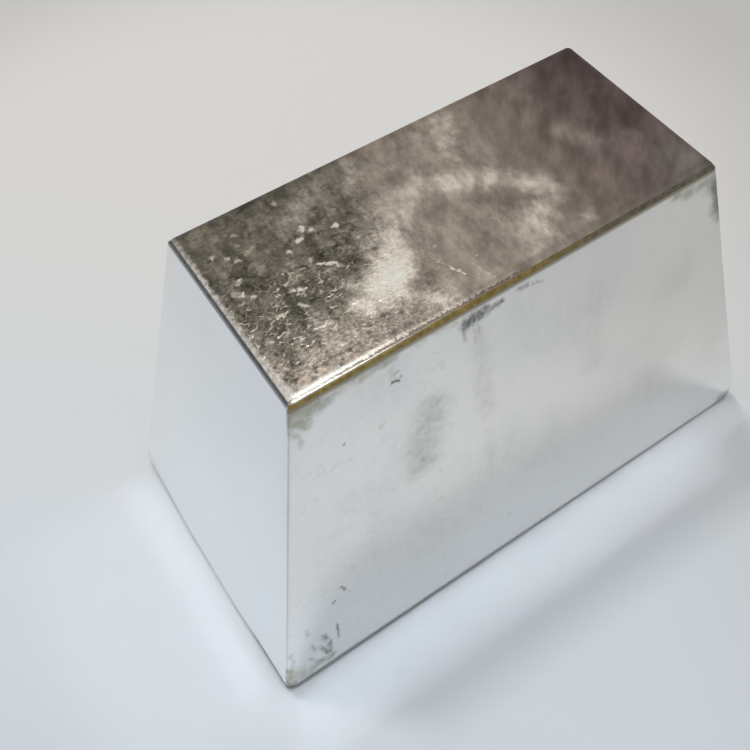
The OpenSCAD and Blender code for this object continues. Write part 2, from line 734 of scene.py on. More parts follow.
@dataclass(frozen=True)
class CrownSkin(Finish):
    """The crown, frozen against the mould floor: a warm dull skin, crackled on the left and hazed in a ring,
    with painted glints.

    The slope round it has a painted highlight at the left and the near left, and a torn burr in front. rim is
    the half length and half width out to the chamfer's upper line, and crease_depth the depth of its fine
    relief, all in millimetres.
    """

    rim: Pair
    name = "crown_skin"
    crease_depth: float = 0.04
    bare_roughness: float = 0.2
    haze_roughness: float = 0.33
    crackle_roughness: float = 0.24
    olive: Colour = (0.19, 0.178, 0.143)
    pit: Colour = (0.075, 0.07, 0.057)
    fleck: Colour = (0.52, 0.48, 0.405)
    # painted highlight on the rim's slope at the left and the near left
    rim_highlight: Colour = (0.86, 0.83, 0.785)
    burr: Colour = (0.13, 0.12, 0.105)
    brown: Colour = (0.42, 0.365, 0.315)
    warm: Colour = (0.545, 0.475, 0.405)
    taupe: Colour = (0.30, 0.25, 0.215)
    plum: Colour = (0.242, 0.184, 0.178)
    dusk: Colour = (0.15, 0.11, 0.108)
    slate: Colour = (0.23, 0.20, 0.187)
    haze: Colour = (0.80, 0.73, 0.65)
    frost: Colour = (1.0, 0.925, 0.82)
    # painted glints: the colour of the creases' crests, the bright flecks and the scratches
    glint_tone: Colour = (1.0, 0.95, 0.85)
    ring: tuple[Mark, ...] = (
        Mark((-11.5, -4.8), (-8.6, -0.6), 4.6, 0.85),
        Mark((-8.8, -0.8), (-5.2, 3.0), 4.2, 0.75),
        Mark((-5.4, 3.0), (-1.0, 4.0), 3.6, 0.7),
        Mark((0.4, 2.3), (4.0, 1.3), 3.0, 0.8),
        Mark((-1.0, 4.0), (4.5, 1.4), 3.2, 0.65),
        Mark((4.5, 1.4), (10.6, -3.9), 3.2, 0.65),
        Mark((9.6, -3.4), (11.4, -4.8), 2.2, 0.75),
        Mark((11.2, -5.6), (8.0, -8.0), 3.2, 0.5),
        Mark((7.6, -7.2), (4.4, -10.4), 4.0, 0.68),
        Mark((2.4, -11.0), (5.0, -11.8), 2.2, 0.3),
        Mark((-13.0, -10.5), (-2.0, -11.6), 3.0, 0.26),
        Mark((-12.6, -9.9), (-9.0, -11.7), 2.8, 0.55),
        Mark((-15.4, -11.2), (-12.5, -10.6), 2.0, 0.35),
        Mark((-6.4, -7.0), (-4.6, -1.0), 1.4, 0.35),
        Mark((3.4, -3.0), (2.4, -7.0), 1.1, 0.4),
        Mark((-2.9, -2.4), (-3.4, -3.6), 0.9, 0.4),
        Mark((-6.6, 12.6), (-6.2, 9.8), 1.8, 0.6),
        Mark((-8.9, 8.4), (-7.6, 10.0), 1.2, 0.45),
        Mark((-9.2, 3.6), (-8.0, 5.0), 1.0, 0.4),
        Mark((2.6, 11.4), (3.4, 9.4), 1.9, 0.5),
        Mark((7.2, 11.6), (5.4, 8.6), 2.4, 0.65),
        Mark((-3.6, 8.6), (-1.2, 7.4), 2.2, 0.35),
        Mark((3.6, 6.4), (4.8, 4.4), 1.6, 0.4),
        Mark((18.0, 1.4), (21.0, -3.0), 3.2, 0.28),
        Mark((24.6, -4.0), (23.0, -8.5), 2.6, 0.2),
        Mark((11.5, -11.0), (12.5, -11.5), 1.8, 0.45),
        Mark((-17.5, 8.4), (-12.0, 10.5), 4.4, 0.42),
    )
    frosted: tuple[Mark, ...] = (
        Mark((-14.0, -6.2), (-11.0, -4.9), 4.4),
        Mark((-16.4, -7.2), (-12.2, -7.4), 3.4, 0.78),
        Mark((-10.2, -3.8), (-8.8, -0.6), 3.0, 0.6),
        Mark((-15.4, -4.4), (-13.6, -4.6), 2.2, 0.5),
        Mark((-11.0, -9.5), (-9.0, -11.5), 2.2, 0.5),
    )
    glints: tuple[Mark, ...] = (
        spot(-17.3, 4.8, 0.85),
        spot(-16.3, 6.1, 0.75, 0.9),
        spot(-15.4, 5.3, 0.75, 0.8),
        spot(-12.8, 4.2, 0.85),
        spot(-19.0, 4.1, 0.8, 0.7),
        Mark((-26.0, 3.1), (-25.4, 3.4), 0.6, 0.6),
        spot(-26.4, 1.5, 0.75, 0.6),
        spot(-25.5, 0.5, 0.65, 0.6),
        spot(-26.6, 8.1, 0.75, 0.6),
        spot(-25.3, 7.1, 0.7, 0.6),
        spot(-24.4, 6.1, 0.7, 0.55),
        Mark((-17.2, 0.6), (-16.2, 0.0), 0.5, 0.9),
        Mark((-16.2, 0.0), (-15.6, -0.9), 0.45, 0.9),
        spot(-21.2, 1.6, 0.6, 0.6),
        spot(-17.8, 1.4, 0.6, 0.55),
        Mark((-23.3, -0.1), (-22.6, -0.2), 0.35, 0.6),
        Mark((-21.9, -0.9), (-20.4, -1.6), 0.38),
        spot(-23.0, 9.5, 0.7, 0.55),
        spot(-16.8, 11.2, 0.9, 0.55),
        spot(-11.5, 1.3, 0.8, 0.55),
        Mark((-24.7, -3.3), (-23.9, -3.6), 0.32, 0.8),
        Mark((-23.9, -3.6), (-23.4, -3.3), 0.32, 0.7),
        Mark((-26.6, -4.2), (-25.9, -4.1), 0.3, 0.6),
        Mark((-25.8, -3.7), (-25.2, -3.5), 0.28, 0.6),
        Mark((-25.8, -5.8), (-24.6, -5.5), 0.3, 0.7),
        Mark((-22.4, -6.9), (-20.8, -7.0), 0.34, 0.8),
        Mark((-26.0, -7.2), (-25.0, -7.1), 0.3, 0.6),
        Mark((-21.8, -3.0), (-21.4, -4.0), 0.4, 0.6),
    )
    scratches: tuple[Mark, ...] = (
        Mark((-6.9, -4.4), (-6.3, -6.7), 0.4, 0.32),
        Mark((-6.3, -6.7), (-5.5, -8.6), 0.34, 0.45),
        Mark((-5.6, -8.4), (-4.9, -10.0), 0.34, 0.85),
        Mark((-4.9, -10.0), (-4.4, -10.8), 0.28, 0.55),
        Mark((-3.3, -9.4), (-2.6, -12.2), 0.4, 0.42),
        spot(-5.4, -4.8, 0.6, 0.45),
        spot(-2.4, -8.7, 0.55, 0.45),
        spot(-3.2, -2.9, 0.8, 0.4),
    )

    def draw(self, sheet: NodeSheet, place: Socket, shader: bpy.types.Node) -> None:
        """Draws the ground tones, the haze ring, the creases, the painted glints on their crests and the rim
        with its painted highlight.

        The strokes stay out of the relief, which is worked out three times over, to keep the shader small.

        Args:
            sheet: The material's node sheet.
            place: Coordinates on the casting, in millimetres.
            shader: The metal shader to feed.
        """
        x, y, _ = sheet.split(place)
        flat = sheet.merge(x, y)
        drift = sheet.wander(sheet.wander(flat, 0.16, 1.6), 0.9, 0.5)
        left, crackled = self.left_part(sheet, drift)
        hazy = self.cover(sheet, flat, self.ring)
        frosty = self.cover(sheet, flat, self.frosted)
        creases = sheet.times(self.creases(sheet, flat), crackled)
        colour = sheet.tint(hazy, self.ground(sheet, flat, drift, left), self.haze)
        colour = self.flecked(sheet, flat, crackled, colour)
        colour = sheet.tint(frosty, colour, self.frost)
        colour = sheet.scaled(colour, sheet.blend(sheet.times(frosty, 0.6), self.mottle(sheet, flat), 1.1))
        # Painted glints: the creases' crests, the single flecks and the scratches take the glint tone.
        shown = sheet.times(creases, sheet.blend(frosty, 1.0, 0.2))
        colour = sheet.tint(sheet.most(shown, self.glinting(sheet, flat)), colour, self.glint_tone)
        # Painted highlight along the left rim and the near rim's left part.
        colour = sheet.tint(self.edge_highlight(sheet, flat), colour, self.rim_highlight)
        sheet.feed(shader.inputs["Base Color"], sheet.tint(self.burred(sheet, flat), colour, self.burr))
        rough = sheet.blend(hazy, self.bare_roughness, self.haze_roughness)
        sheet.feed(shader.inputs["Roughness"], sheet.blend(crackled, rough, self.crackle_roughness))
        grain = sheet.times(sheet.noise(flat, 2.2, 2.0, 0.6), sheet.blend(crackled, 0.08, 0.4))
        self.relief(sheet, shader, sheet.math("MULTIPLY_ADD", creases, 0.5, grain), self.crease_depth)

    def edge_highlight(self, sheet: NodeSheet, flat: Socket) -> Socket:
        """Draws the painted highlight along the left rim and the near rim's left part.

        Args:
            sheet: The material's node sheet.
            flat: Coordinates on the crown in millimetres.

        Returns:
            The cover of the painted highlight.
        """
        x, y, _ = sheet.split(flat)
        from_left = sheet.math("ADD", x, self.rim[0])
        from_near = sheet.math("ADD", y, self.rim[1])
        slow = sheet.swing(flat, 0.8, 3.0, 0.6)
        reach = sheet.math("SUBTRACT", from_left, sheet.ramp(y, -5.0, -13.0, 0.0, 0.5))
        left = sheet.ramp(sheet.math("MULTIPLY_ADD", slow, -1.2, reach), 0.85, 0.3)
        patchy = sheet.ramp(sheet.noise(flat, 1.5, 2.0, 0.6), 0.36, 0.62, 0.5)
        left = sheet.times(left, patchy, sheet.ramp(y, 13.0, 6.0, 0.7))
        strip = sheet.ramp(sheet.math("MULTIPLY_ADD", slow, -0.8, from_near), 1.2, 0.75, 0.0, 0.95)
        ending = sheet.math("MULTIPLY_ADD", slow, 5.0, x)
        strip = sheet.times(strip, sheet.ramp(ending, -12.0, -28.0, 0.02))
        lip = sheet.times(sheet.ramp(from_near, 0.22, 0.14), sheet.ramp(x, -8.0, -27.0, 0.0, 0.28))
        return sheet.most(left, strip, lip)

    def burred(self, sheet: NodeSheet, flat: Socket) -> Socket:
        """Draws the dark, torn burr along the near rim, a painted shade inside the near rim's right half and
        the dark line along the left rim.

        Args:
            sheet: The material's node sheet.
            flat: Coordinates on the crown in millimetres.

        Returns:
            The cover of the dark metal and of the painted shade.
        """
        x, y, _ = sheet.split(flat)
        from_left = sheet.math("ADD", x, self.rim[0])
        from_near = sheet.math("ADD", y, self.rim[1])
        ragged = sheet.times(sheet.swing(flat, 2.4, 2.0, 0.6), sheet.ramp(x, -25.0, -15.0, 0.2, 1.5))
        outer = sheet.most(sheet.ramp(from_near, 0.06, 0.14), sheet.ramp(x, -22.0, -12.0, 0.0, 0.65))
        band = sheet.times(sheet.ramp(sheet.math("SUBTRACT", from_near, ragged), 0.5, 0.3), outer)
        band = sheet.times(band, sheet.ramp(x, -28.0, -18.0, 0.7, 0.95), sheet.ramp(x, 6.0, -2.0))
        # Painted shade inside the near rim's right half.
        shade = sheet.times(sheet.ramp(from_near, 1.5, 0.6), sheet.ramp(x, -12.0, 2.0, 0.0, 0.42))
        return sheet.most(band, shade, sheet.ramp(from_left, 0.16, 0.06, 0.0, 0.8))

    @staticmethod
    def left_part(sheet: NodeSheet, drift: Socket) -> tuple[Socket, Socket]:
        """Draws where the crown is dark, and where it is crackled, which reaches further to the right.

        Args:
            sheet: The material's node sheet.
            drift: Coordinates on the crown in millimetres, pushed about for ragged borders.

        Returns:
            The cover of the dark part and of the crackled part.
        """
        slant = sheet.vector("DOT_PRODUCT", drift, (1.0, -0.33, 0.0))
        return sheet.ramp(slant, -7.5, -14.5), sheet.ramp(slant, -3.0, -14.0)

    @staticmethod
    def mottle(sheet: NodeSheet, flat: Socket) -> Socket:
        """Draws how bright the skin is against its own tone, in streaky lumps that calm down to the right.

        Args:
            sheet: The material's node sheet.
            flat: Coordinates on the crown in millimetres.

        Returns:
            The factor, about 1.
        """
        x, y, _ = sheet.split(flat)
        lumps = sheet.noise(sheet.turned(flat, 78.0, 0.55), 0.34, 5.0, 0.72)
        smears = sheet.noise(sheet.turned(flat, 51.0, 0.4), 0.42, 3.0, 0.55)
        middle = sheet.ramp(lumps, 0.3, 0.7, sheet.ramp(x, -4.0, -12.0, 0.64, 0.52), 1.38)
        tone = sheet.blend(sheet.ramp(x, 7.0, 15.0), middle, sheet.ramp(smears, 0.3, 0.7, 0.72, 1.28))
        grain = sheet.noise(sheet.stretched(flat, (1.1, 1.5, 1.0)), 1.7, 4.0, 0.7)
        gritty = sheet.times(sheet.ramp(x, -3.0, -12.0), sheet.ramp(y, 7.0, 0.0, 0.35))
        return sheet.times(tone, sheet.blend(gritty, 1.0, sheet.ramp(grain, 0.34, 0.66, 0.64, 1.36)))

    def ground(self, sheet: NodeSheet, flat: Socket, drift: Socket, left: Socket) -> Socket:
        """Draws the skin's ground colour, from olive at the back left to plum at the right, with a painted
        sheen at the near left.

        Args:
            sheet: The material's node sheet.
            flat: Coordinates on the crown in millimetres.
            drift: The same, pushed about for ragged borders.
            left: Cover of the dark part.

        Returns:
            The colour.
        """
        x, y, _ = sheet.split(drift)
        colour = sheet.tint(left, self.brown, self.olive)
        # Painted sheen: the near part of the dark left is lighter and warm, where the key lamp's reflection
        # fell.
        colour = sheet.tint(sheet.times(sheet.ramp(y, -3.5, -11.5), left), colour, self.warm)
        colour = sheet.tint(sheet.ramp(x, 6.5, 14.0), colour, self.taupe)
        colour = sheet.tint(sheet.ramp(x, 13.0, 23.0), colour, self.plum)
        far_right = sheet.times(sheet.ramp(x, 18.0, 27.0), sheet.ramp(y, -8.0, 0.0))
        near_right = sheet.times(sheet.ramp(x, 20.0, 26.0), sheet.ramp(y, -4.5, -9.0))
        colour = sheet.tint(near_right, sheet.tint(far_right, colour, self.dusk), self.slate)
        lumps = sheet.noise(sheet.turned(flat, 75.0, 0.6), 0.2, 3.0, 0.6)
        light = sheet.times(sheet.ramp(lumps, 0.48, 0.75), sheet.ramp(x, 6.0, 20.0, 0.45, 0.16))
        colour = sheet.tint(light, colour, self.warm)
        return sheet.tint(sheet.ramp(lumps, 0.48, 0.25, 0.0, 0.25), colour, self.pit)

    def flecked(self, sheet: NodeSheet, flat: Socket, crackled: Socket, colour: Socket) -> Socket:
        """Draws the pits, pale patches and grain of the crackled part over a colour, and pale flecks that are
        painted glints.

        Args:
            sheet: The material's node sheet.
            flat: Coordinates on the crown in millimetres.
            crackled: Cover of the crackled part.
            colour: The ground colour.

        Returns:
            The colour with its flecks.
        """
        _, y, _ = sheet.split(flat)
        lively = sheet.times(sheet.ramp(y, 10.0, 3.0, 0.5), crackled)
        apart = sheet.vector("ADD", flat, (7.0, 53.0, 0.0))
        smears = sheet.noise(sheet.stretched(flat, (0.4, 0.16, 1.0)), 1.0, 3.0, 0.55)
        smears = sheet.times(sheet.ramp(smears, 0.48, 0.7, 0.0, 0.45), crackled)
        pits = sheet.times(sheet.ramp(sheet.noise(apart, 0.8, 3.0, 0.6), 0.51, 0.34, 0.0, 0.8), lively)
        grain = sheet.noise(sheet.stretched(flat, (0.8, 1.1, 1.0)), 1.3, 4.0, 0.62)
        grain = sheet.times(sheet.ramp(grain, 0.52, 0.7, 0.0, 0.6), lively)
        cluster = sheet.ramp(sheet.noise(apart, 0.22, 2.0), 0.4, 0.6)
        # Painted glints: pale flecks in clusters over the crackled part.
        flake_glints = sheet.noise(sheet.wander(flat, 1.5, 0.2), 0.7, 1.0, 0.4)
        flake_glints = sheet.times(sheet.ramp(flake_glints, 0.56, 0.72, 0.0, 0.85), cluster, lively)
        colour = sheet.tint(smears, colour, self.fleck)
        colour = sheet.tint(pits, colour, self.pit)
        colour = sheet.tint(grain, colour, self.fleck)
        return sheet.tint(flake_glints, colour, self.fleck)

    def glinting(self, sheet: NodeSheet, flat: Socket) -> Socket:
        """Draws the single painted glints and the bright scratches.

        Args:
            sheet: The material's node sheet.
            flat: Coordinates on the crown in millimetres.

        Returns:
            Their cover.
        """
        bent = sheet.wander(sheet.wander(flat, 0.9, 0.3), 2.6, 0.16)
        return sheet.torn(sheet.strokes(bent, self.glints + self.scratches), flat, 2.0, 0.1, 0.8, 2.0)

    @staticmethod
    def cover(sheet: NodeSheet, flat: Socket, marks: tuple[Mark, ...]) -> Socket:
        """Draws the grainy cover of soft pale marks.

        Args:
            sheet: The material's node sheet.
            flat: Coordinates on the crown in millimetres.
            marks: The marks.

        Returns:
            The cover.
        """
        smooth = sheet.strokes(sheet.wander(sheet.wander(flat, 0.3, 0.8), 1.0, 0.4), marks)
        return sheet.torn(smooth, sheet.turned(flat, 75.0, 0.7), 0.7, 0.02, 1.0, 1.4)

    @staticmethod
    def creases(sheet: NodeSheet, flat: Socket) -> Socket:
        """Draws short foil creases across the middle and a fine speckle towards the front.

        Args:
            sheet: The material's node sheet.
            flat: Coordinates on the crown in millimetres.

        Returns:
            The cover of the creases.
        """
        _, y, _ = sheet.split(flat)
        arcs = sheet.wrinkle(sheet.stretched(flat, (0.78, 1.1, 1.0)), 1.0, 0.05, (0.52, 0.64))
        arcs = sheet.times(arcs, sheet.ramp(y, 3.0, -1.0), sheet.ramp(y, -12.5, -9.0, 0.4), 0.66)
        speckle = sheet.noise(sheet.stretched(flat, (2.1, 2.7, 1.0)), 1.0, 3.0, 0.6)
        speckle = sheet.times(sheet.ramp(speckle, 0.52, 0.74), sheet.ramp(y, -3.0, -9.0), 0.55)
        return sheet.most(arcs, speckle)


@dataclass(frozen=True)
class TarnishAndReflection(Finish):
    """A chamfer's colour, one at its left and another at its right, with a painted highlight along one edge. On
    the long sides the gold is a painted warm reflection; on the ends the dark colour is a tarnish.

    worn_from and worn_to are the heights, in millimetres, between which the painted highlight grows to its full
    strength.
    """

    name: str
    left: Colour
    right: Colour
    edge_highlight: Colour
    worn_from: float
    worn_to: float

    def draw(self, sheet: NodeSheet, place: Socket, shader: bpy.types.Node) -> None:
        """Draws the colour along the bar, a little uneven, and the painted edge highlight, which fades to the
        right.

        Args:
            sheet: The material's node sheet.
            place: Coordinates on the casting, in millimetres.
            shader: The metal shader to feed.
        """
        x, _, z = sheet.split(place)
        uneven = sheet.noise(place, 0.5, 3.0)
        along = sheet.ramp(sheet.math("MULTIPLY_ADD", uneven, 8.0, x), -1.0, 20.0)
        shade = sheet.ramp(sheet.noise(place, 1.1, 4.0, 0.65), 0.3, 0.7, 0.7, 1.3)
        colour = sheet.scaled(sheet.tint(along, self.left, self.right), shade)
        lit_edge = sheet.times(sheet.ramp(z, self.worn_from, self.worn_to), sheet.ramp(x, -8.0, -27.0, 0.0, 0.7))
        sheet.feed(shader.inputs["Base Color"], sheet.tint(lit_edge, colour, self.edge_highlight))
        sheet.feed(shader.inputs["Roughness"], sheet.blend(uneven, 0.3, 0.45))


@dataclass(frozen=True)
class FootSkin(Finish):
    """The pour face and its rounded rim, which cooled in the air: dull, a little soiled, and with a painted
    contact shade.

    ripple_depth is in millimetres.
    """

    name = "foot_skin"
    ripple_depth: float = 0.02
    # clean is the dark rim of the painted contact shade, spared the pale rim where there is none
    clean: Colour = (0.29, 0.285, 0.27)
    spared: Colour = (0.86, 0.865, 0.865)
    grime_and_shade: Colour = (0.18, 0.175, 0.16)

    def draw(self, sheet: NodeSheet, place: Socket, shader: bpy.types.Node) -> None:
        """Draws a dull skin with slow ripples and a painted contact shade, darkest at the front's near end.

        Args:
            sheet: The material's node sheet.
            place: Coordinates on the casting, in millimetres.
            shader: The metal shader to feed.
        """
        x, y, _ = sheet.split(place)
        spared = self.spared_foot(sheet, x, y)
        # Dark noise, full where the painted contact shade is and weaker elsewhere.
        grimy_and_shaded = sheet.ramp(sheet.noise(place, 0.35, 4.0, 0.6), 0.45, 0.7)
        grimy_and_shaded = sheet.times(grimy_and_shaded, sheet.blend(spared, 1.0, 0.3))
        colour = sheet.tint(spared, self.clean, self.spared)
        sheet.feed(shader.inputs["Base Color"], sheet.tint(grimy_and_shaded, colour, self.grime_and_shade))
        sheet.feed(shader.inputs["Roughness"], sheet.blend(grimy_and_shaded, 0.34, 0.5))
        self.relief(sheet, shader, sheet.noise(place, 0.8, 3.0), self.ripple_depth)


@dataclass(frozen=True)
class Relief:
    """The real relief of the casting, with everything in millimetres.

    crown_half is the crown's half length and half width, level its height and hem the width over which its
    relief dies out. The other values are the heights of the relief's four parts.
    """

    crown_half: Pair
    level: float
    hem: float = 0.6
    crumple: float = 0.05
    ridge: float = 0.012
    swell: float = 0.06
    wave: float = 0.12

    def height(self, sheet: NodeSheet, place: Socket) -> Socket:
        """Draws how far the surface stands proud.

        Args:
            sheet: The geometry tree's node sheet.
            place: Points on the casting, in millimetres.

        Returns:
            The height of the relief, in millimetres.
        """
        return sheet.math("ADD", self.on_crown(sheet, place), self.on_sides(sheet, place))

    def on_crown(self, sheet: NodeSheet, place: Socket) -> Socket:
        """Draws the crown's crumples and ridges, strong on the left, and its slow swell.

        Args:
            sheet: The geometry tree's node sheet.
            place: Points on the casting, in millimetres.

        Returns:
            The height of the relief on the crown, and 0 elsewhere.
        """
        x, y, z = sheet.split(place)
        flat = sheet.merge(x, y)
        inside = sheet.ramp(z, self.level - 0.05, self.level - 0.02)
        for part, half in zip((x, y), self.crown_half):
            inside = sheet.times(inside, sheet.ramp(sheet.math("ABSOLUTE", part), half, half - self.hem))
        crumple = sheet.times(sheet.swing(flat, 0.7, 2.0, 0.5, 0.6), self.crumple)
        ridge = sheet.wrinkle(sheet.stretched(flat, (0.6, 1.2, 1.0)), 0.85, 0.12)
        rough = sheet.math("MULTIPLY_ADD", ridge, self.ridge, crumple)
        rough = sheet.times(rough, sheet.ramp(x, 0.0, -13.0, 0.12))
        rise = sheet.math("MULTIPLY_ADD", sheet.swing(flat, 0.12, 1.0), self.swell, rough)
        return sheet.times(rise, inside)

    def on_sides(self, sheet: NodeSheet, place: Socket) -> Socket:
        """Draws the slow waves of the sides, which die out at the foot and at the chamfer.

        Args:
            sheet: The geometry tree's node sheet.
            place: Points on the casting, in millimetres.

        Returns:
            The height of the waves on the sides, and 0 elsewhere.
        """
        _, _, z = sheet.split(place)
        between = sheet.times(sheet.ramp(z, 1.5, 4.0), sheet.ramp(z, self.level - 0.7, self.level - 2.5))
        return sheet.times(sheet.swing(place, 0.07, 2.0), self.wave, between)


@dataclass
class Ingot:
    """The casting: a drafted block with a chamfer and a shoulder round its crown and a rounded foot.

    Lengths are in metres and angles in radians. The block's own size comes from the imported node. The softness
    values are the rounds that take the sharpness off the lines round the crown. margin is where the narrow
    strips end, as a share of the crown's half length and half width, and foot_skin_share is how much of the
    foot's round has the pour face's finish.
    """

    node: str = "ingot"
    body: str = "root"
    slot: str = "indium"
    end_draft: float = math.radians(14.3)
    side_draft: float = math.radians(9.3)
    foot_radius: float = 1.3 * MM
    foot_segments: int = 6
    foot_skin_share: float = 0.9
    foot_corner_radius: float = 3.0 * MM
    corner_radius: float = 0.4 * MM
    corner_segments: int = 3
    shoulder_width: float = 0.7 * MM
    shoulder_drop: float = 0.12 * MM
    shoulder_rows: int = 3
    chamfer_width: float = 0.35 * MM
    chamfer_drop: float = 0.5 * MM
    chamfer_rows: int = 2
    edge_softness: float = 0.05 * MM
    edge_segments: int = 2
    crown_softness: float = 0.18 * MM
    crown_segments: int = 3
    margin: Pair = (0.98, 0.96)
    crown_pitch: float = 0.21 * MM
    side_rows: int = 46
    smooth_angle: float = math.radians(24.0)
    finishes: dict[Skin, Finish] = field(default_factory=dict)
    piece: bpy.types.Object | None = None

    def __post_init__(self) -> None:
        """Works the block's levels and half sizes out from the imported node's box."""
        _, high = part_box(self.node)
        self.height = high.z
        self.chamfer_top = self.height - self.shoulder_drop
        self.side_top = self.chamfer_top - self.chamfer_drop
        drafts = (self.end_draft, self.side_draft)
        self.foot_half = tuple(
            half + self.foot_radius * ((1.0 + math.sin(draft)) / math.cos(draft) - 1.0)
            for half, draft in zip((high.x, high.y), drafts)
        )
        self.edge_half = tuple(
            half - self.side_top * math.tan(draft) for half, draft in zip(self.foot_half, drafts)
        )
        self.shoulder_half = tuple(half - self.chamfer_width for half in self.edge_half)
        self.crown_half = tuple(half - self.shoulder_width for half in self.shoulder_half)

    def choose(self, kind: Pick, wanted: Callable[[object], bool]) -> None:
        """Selects in edit mode, by place or direction.

        Args:
            kind: What to select.
            wanted: Tells whether a vertex, edge or face is selected.
        """
        bpy.ops.mesh.select_mode(type=kind.value)
        bpy.ops.mesh.select_all(action="DESELECT")
        form = bmesh.from_edit_mesh(self.piece.data)
        members = {Pick.VERTS: form.verts, Pick.EDGES: form.edges, Pick.FACES: form.faces}[kind]
        for member in members:
            if wanted(member):
                member.select_set(True)
        form.select_flush_mode()
        bmesh.update_edit_mesh(self.piece.data)

    @staticmethod
    def run(edge: bmesh.types.BMEdge) -> Vector:
        """Returns an edge's own vector."""
        return edge.verts[1].co - edge.verts[0].co

    @staticmethod
    def levels(edge: bmesh.types.BMEdge) -> list[float]:
        """Returns the heights of an edge's lower and upper end."""
        return sorted(vert.co.z for vert in edge.verts)

    @staticmethod
    def resize_to(now: Pair, then: Pair, level: float) -> None:
        """Scales the selection in plan.

        Args:
            now: The half length and half width that it has.
            then: The half length and half width that it gets.
            level: The height of the scaling's centre.
        """
        factors = (then[0] / now[0], then[1] / now[1], 1.0)
        bpy.ops.transform.resize(value=factors, center_override=(0.0, 0.0, level))

    def cast_block(self) -> None:
        """Adds the block, draws its top in by the drafts and steps the chamfer and shoulder up from it."""
        bpy.ops.object.select_all(action="DESELECT")
        middle = (0.0, 0.0, self.side_top / 2.0)
        half = (*self.foot_half, self.side_top / 2.0)
        bpy.ops.mesh.primitive_cube_add(size=2.0, location=middle, scale=half)
        bpy.ops.object.transform_apply(location=True, rotation=True, scale=True)
        self.piece = bpy.context.object
        self.piece.name = "casting"
        bpy.ops.object.mode_set(mode="EDIT")
        self.choose(Pick.FACES, lambda face: face.normal.z > 0.9)
        self.resize_to(self.foot_half, self.edge_half, self.side_top)
        bpy.ops.mesh.extrude_region_move(TRANSFORM_OT_translate={"value": (0.0, 0.0, self.chamfer_drop)})
        self.resize_to(self.edge_half, self.shoulder_half, self.side_top + self.chamfer_drop)
        bpy.ops.mesh.extrude_region_move(TRANSFORM_OT_translate={"value": (0.0, 0.0, self.shoulder_drop)})
        self.resize_to(self.shoulder_half, self.crown_half, self.height)

    def round_foot(self) -> None:
        """Rolls the foot's edge and marks the four upright corners for later."""
        self.choose(Pick.EDGES, lambda edge: self.levels(edge)[1] < MM)
        mean_draft = (self.end_draft + self.side_draft) / 2.0
        offset = self.foot_radius / math.tan((math.pi / 2.0 - mean_draft) / 2.0)
        bpy.ops.mesh.bevel(offset=offset, segments=self.foot_segments, affect="EDGES", clamp_overlap=False)
        self.choose(Pick.EDGES, lambda edge: min(abs(self.run(edge).x), abs(self.run(edge).y)) > TINY)
        bpy.ops.mesh.mark_seam()

    def cut_strips(self, axis: int) -> None:
        """Cuts the block into narrow strips along one plan axis, with a wider margin at both ends.

        Args:
            axis: 0 to cut across X, 1 to cut across Y.
        """
        def lies_along(edge: bmesh.types.BMEdge) -> bool:
            """Tells whether an edge runs along the axis."""
            return abs(self.run(edge)[axis]) > STRAIGHT * edge.calc_length()

        def spans_middle(edge: bmesh.types.BMEdge) -> bool:
            """Tells whether such an edge lies between the margins."""
            return lies_along(edge) and abs(sum(vert.co[axis] for vert in edge.verts)) < MM

        self.choose(Pick.EDGES, lies_along)
        bpy.ops.mesh.subdivide(number_cuts=2)
        inner = 0.5 * self.crown_half[axis]
        self.choose(Pick.VERTS, lambda vert: abs(vert.co[axis]) < inner)
        # The two cuts lie a third of the way out, so three times that reaches the end.
        factors = [1.0, 1.0, 1.0]
        factors[axis] = 3.0 * self.margin[axis]
        bpy.ops.transform.resize(value=factors, center_override=(0.0, 0.0, 0.0))
        self.choose(Pick.EDGES, spans_middle)
        bpy.ops.mesh.subdivide(number_cuts=round(2.0 * self.crown_half[axis] / self.crown_pitch))

    def cut_rows(self) -> None:
        """Cuts rows across the sides, chamfer and shoulder, and makes the pour face one face again."""
        self.choose(Pick.EDGES, lambda edge: abs(self.run(edge).z) > 0.5 * self.side_top)
        bpy.ops.mesh.subdivide(number_cuts=self.side_rows)
        chamfer = (self.side_top, self.chamfer_drop, self.chamfer_rows)
        shoulder = (self.chamfer_top, self.shoulder_drop, self.shoulder_rows)
        for bottom, rise, cuts in (chamfer, shoulder):
            def climbs(edge: bmesh.types.BMEdge) -> bool:
                """Tells whether an edge goes up the whole slope."""
                return abs(abs(self.run(edge).z) - rise) < TINY and self.levels(edge)[0] > bottom - TINY

            self.choose(Pick.EDGES, climbs)
            bpy.ops.mesh.subdivide(number_cuts=cuts)
        self.choose(Pick.FACES, lambda face: face.normal.z < -STRAIGHT)
        bpy.ops.mesh.dissolve_faces()

    def soften_edges(self) -> None:
        """Rounds the upright corners and takes the sharpness off the three lines round the crown."""
        def bounds_crown(edge: bmesh.types.BMEdge) -> bool:
            """Tells whether an edge lies between the crown and the shoulder."""
            flat_sides = sum(face.normal.z > FLAT for face in edge.link_faces)
            return self.levels(edge)[0] > self.height - LEVEL_SLACK and flat_sides == 1

        def bounds_chamfer(edge: bmesh.types.BMEdge) -> bool:
            """Tells whether an edge lies on the chamfer's lower or upper line."""
            low, high = self.levels(edge)
            return any(max(abs(low - line), abs(high - line)) < LEVEL_SLACK
                       for line in (self.side_top, self.chamfer_top))

        for wanted, offset, segments in (
            (lambda edge: edge.seam, self.corner_radius, self.corner_segments),
            (bounds_crown, self.crown_softness, self.crown_segments),
            (bounds_chamfer, self.edge_softness, self.edge_segments),
        ):
            self.choose(Pick.EDGES, wanted)
            bpy.ops.mesh.bevel(offset=offset, segments=segments, affect="EDGES")

